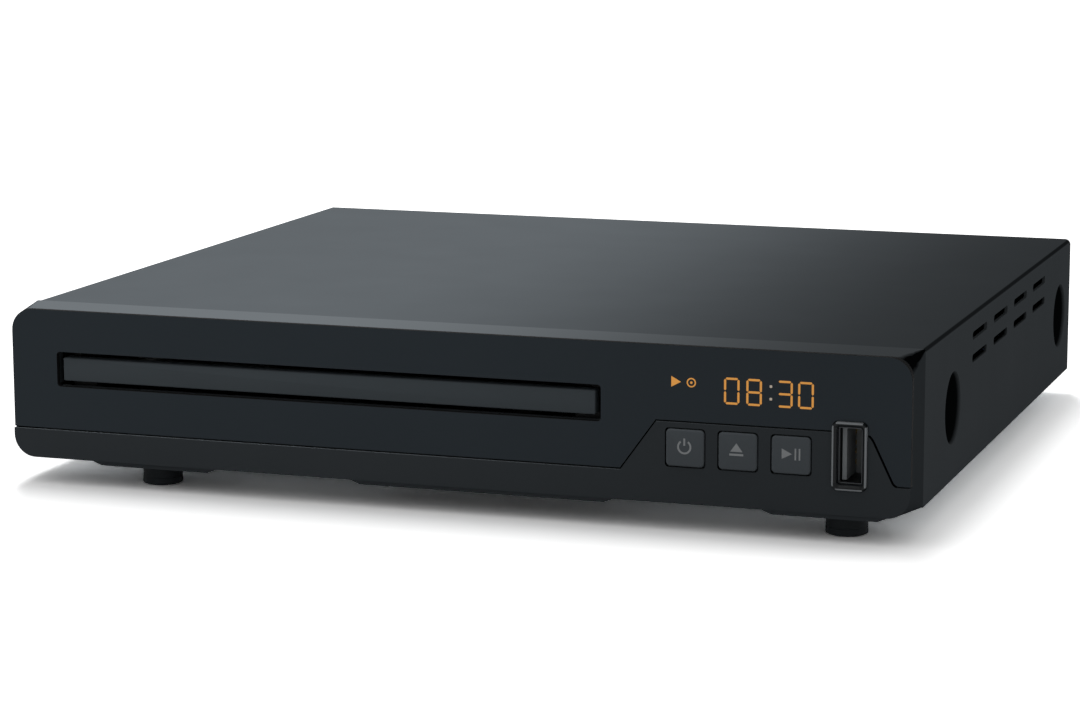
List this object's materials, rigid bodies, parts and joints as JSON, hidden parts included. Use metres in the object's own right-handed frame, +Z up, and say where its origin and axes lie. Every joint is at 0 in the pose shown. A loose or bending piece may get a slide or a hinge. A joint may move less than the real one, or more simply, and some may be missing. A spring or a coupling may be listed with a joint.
{
  "type": "disc player",
  "caption": "Compact disc player with a steel cover, smoked front, sliding disc tray, sprung keys, upright USB socket and a full loader mechanism inside.",
  "frame": {"origin": "on the table, under the middle of the whole player with its rear jacks", "axes": "front faces -Y, right is +X, up is +Z"},
  "size_m": [0.225, 0.2092, 0.0433],
  "materials": {
    "case_paint": "semi-matt black paint on sheet steel",
    "bezel_plastic": "fine-grained black moulding",
    "smoked_panel": "smoked acrylic",
    "key_plastic": "satin black",
    "trim_gloss": "gloss black",
    "zinc_steel": "zinc-plated sheet steel",
    "rear_paint": "matt black paint",
    "foot_rubber": "matt black rubber",
    "black_screw": "blackened steel",
    "bright_screw": "zinc-plated",
    "socket_metal": "bright nickel plate",
    "socket_insert": "black insulator",
    "inlet_plastic": "satin black",
    "circuit_board": "green solder mask",
    "chip_black": "moulded epoxy",
    "connector_white": "natural nylon",
    "capacitor_sleeve": "dark blue sleeve",
    "winding_tape": "yellow winding tape",
    "ribbon_grey": "flat cable",
    "lead_red": "insulated wires",
    "display_block": "black display housing",
    "sensor_black": "infrared-clear epoxy",
    "loader_plastic": "black moulded plastic",
    "tray_plastic": "black moulded plastic",
    "gear_plastic": "natural acetal",
    "belt_rubber": "black rubber",
    "motor_steel": "plated can",
    "rod_steel": "ground rod",
    "lens_glass": "coated lens",
    "turntable_plastic": "black moulding with a rubber ring"
  },
  "bodies": {
    "case": {"top_cover": "case_paint", "front_bezel": "bezel_plastic", "display_panel": "smoked_panel", "chassis_pan": "zinc_steel", "rear_panel": "rear_paint", "front_left_foot": "foot_rubber", "front_right_foot": "foot_rubber", "rear_left_foot": "foot_rubber", "rear_right_foot": "foot_rubber", "cover_side_screws": "black_screw", "rear_screws": "black_screw", "key_switches": "chip_black", "front_board": "circuit_board", "display_module": "display_block", "remote_sensor": "sensor_black", "usb_trim": "trim_gloss", "usb_shell": "socket_metal", "usb_tongue": "socket_insert", "usb_board": "circuit_board", "loader_frame": "loader_plastic", "drive_belt": "belt_rubber", "loading_motor": "motor_steel", "clamp_bridge": "loader_plastic", "main_board": "circuit_board", "power_board": "circuit_board", "inner_screws": "bright_screw", "board_chips": "chip_black", "board_connectors": "connector_white", "board_capacitors": "capacitor_sleeve", "hdmi_socket": "socket_metal", "hdmi_tongue": "socket_insert", "jack_block": "inlet_plastic", "jack_sleeves": "socket_metal", "mains_inlet": "inlet_plastic", "inlet_pins": "socket_metal", "transformer_core": "chip_black", "transformer_winding": "winding_tape", "power_capacitors": "capacitor_sleeve", "front_ribbon": "ribbon_grey", "power_lead": "lead_red"},
    "tray": {"disc_tray": "tray_plastic", "tray_door": "key_plastic"},
    "tray_gear": {"drive_gear": "gear_plastic"},
    "belt_gear": {"pulley_gear": "gear_plastic"},
    "motor_wheel": {"motor_pulley": "gear_plastic"},
    "cam": {"cam_slider": "gear_plastic"},
    "traverse": {"traverse_frame": "loader_plastic", "guide_rods": "rod_steel", "spindle_motor": "motor_steel", "sled_motor": "motor_steel"},
    "spindle": {"turntable": "turntable_plastic"},
    "sled": {"pickup_sled": "loader_plastic", "lens_actuator": "chip_black", "objective_lens": "lens_glass"},
    "sled_wheel": {"sled_gear": "gear_plastic"},
    "sled_drive": {"sled_pinion": "gear_plastic"},
    "clamp": {"clamp_puck": "turntable_plastic"},
    "power_button": {"power_key": "key_plastic"},
    "eject_button": {"eject_key": "key_plastic"},
    "play_button": {"play_key": "key_plastic"}
  },
  "joints": [
    {"name": "tray_slide", "type": "slide", "parent": "case", "child": "tray", "axis": [0, -1, 0], "range_m": [0, 0.128]},
    {"name": "tray_gear_turn", "type": "hinge", "parent": "case", "child": "tray_gear", "pos_m": [0.01438, -0.0834, 0.0174], "axis": [0, 0, 1], "range_deg": [-1048, 0]},
    {"name": "belt_gear_turn", "type": "hinge", "parent": "case", "child": "belt_gear", "pos_m": [-0.00094, -0.0834, 0.0174], "axis": [0, 0, 1], "range_deg": [0, 2934]},
    {"name": "motor_wheel_turn", "type": "hinge", "parent": "case", "child": "motor_wheel", "pos_m": [-0.03194, -0.0834, 0.0203], "axis": [0, 0, 1], "range_deg": [0, 13335]},
    {"name": "traverse_tilt", "type": "hinge", "parent": "case", "child": "traverse", "pos_m": [-0.0305, 0.0477, 0.0185], "axis": [1, 0, 0], "range_deg": [0, 3.5]},
    {"name": "cam_slide", "type": "slide", "parent": "case", "child": "cam", "axis": [1, 0, 0], "range_m": [0, 0.016]},
    {"name": "spindle_spin", "type": "hinge", "parent": "traverse", "child": "spindle", "pos_m": [-0.0305, -0.0363, 0.0254], "axis": [0, 0, 1], "continuous": true},
    {"name": "sled_slide", "type": "slide", "parent": "traverse", "child": "sled", "axis": [0, 1, 0], "range_m": [0, 0.035]},
    {"name": "sled_wheel_turn", "type": "hinge", "parent": "traverse", "child": "sled_wheel", "pos_m": [0.00012, 0.0057, 0.0212], "axis": [0, 0, 1], "range_deg": [-279, 0]},
    {"name": "sled_drive_turn", "type": "hinge", "parent": "traverse", "child": "sled_drive", "pos_m": [0.00849, 0.01272, 0.0212], "axis": [0, 0, 1], "range_deg": [0, 558]},
    {"name": "clamp_spin", "type": "hinge", "parent": "case", "child": "clamp", "pos_m": [-0.0305, -0.0363, 0.0332], "axis": [0, 0, 1], "continuous": true},
    {"name": "power_button_press", "type": "slide", "parent": "case", "child": "power_button", "axis": [0, 1, 0], "range_m": [0, 0.0006], "stiffness_N_per_m": 1500},
    {"name": "eject_button_press", "type": "slide", "parent": "case", "child": "eject_button", "axis": [0, 1, 0], "range_m": [0, 0.0006], "stiffness_N_per_m": 1500},
    {"name": "play_button_press", "type": "slide", "parent": "case", "child": "play_button", "axis": [0, 1, 0], "range_m": [0, 0.0006], "stiffness_N_per_m": 1500}
  ],
  "couplings": [
    {"joint": "tray_gear_turn", "follows": "tray_slide", "rad_per_m": -142.86},
    {"joint": "belt_gear_turn", "follows": "tray_slide", "rad_per_m": 400},
    {"joint": "motor_wheel_turn", "follows": "tray_slide", "rad_per_m": 1818.2},
    {"joint": "cam_slide", "follows": "traverse_tilt", "m_per_rad": 0.26192},
    {"joint": "sled_wheel_turn", "follows": "sled_slide", "rad_per_m": -138.89},
    {"joint": "sled_drive_turn", "follows": "sled_slide", "rad_per_m": 277.78}
  ]
}
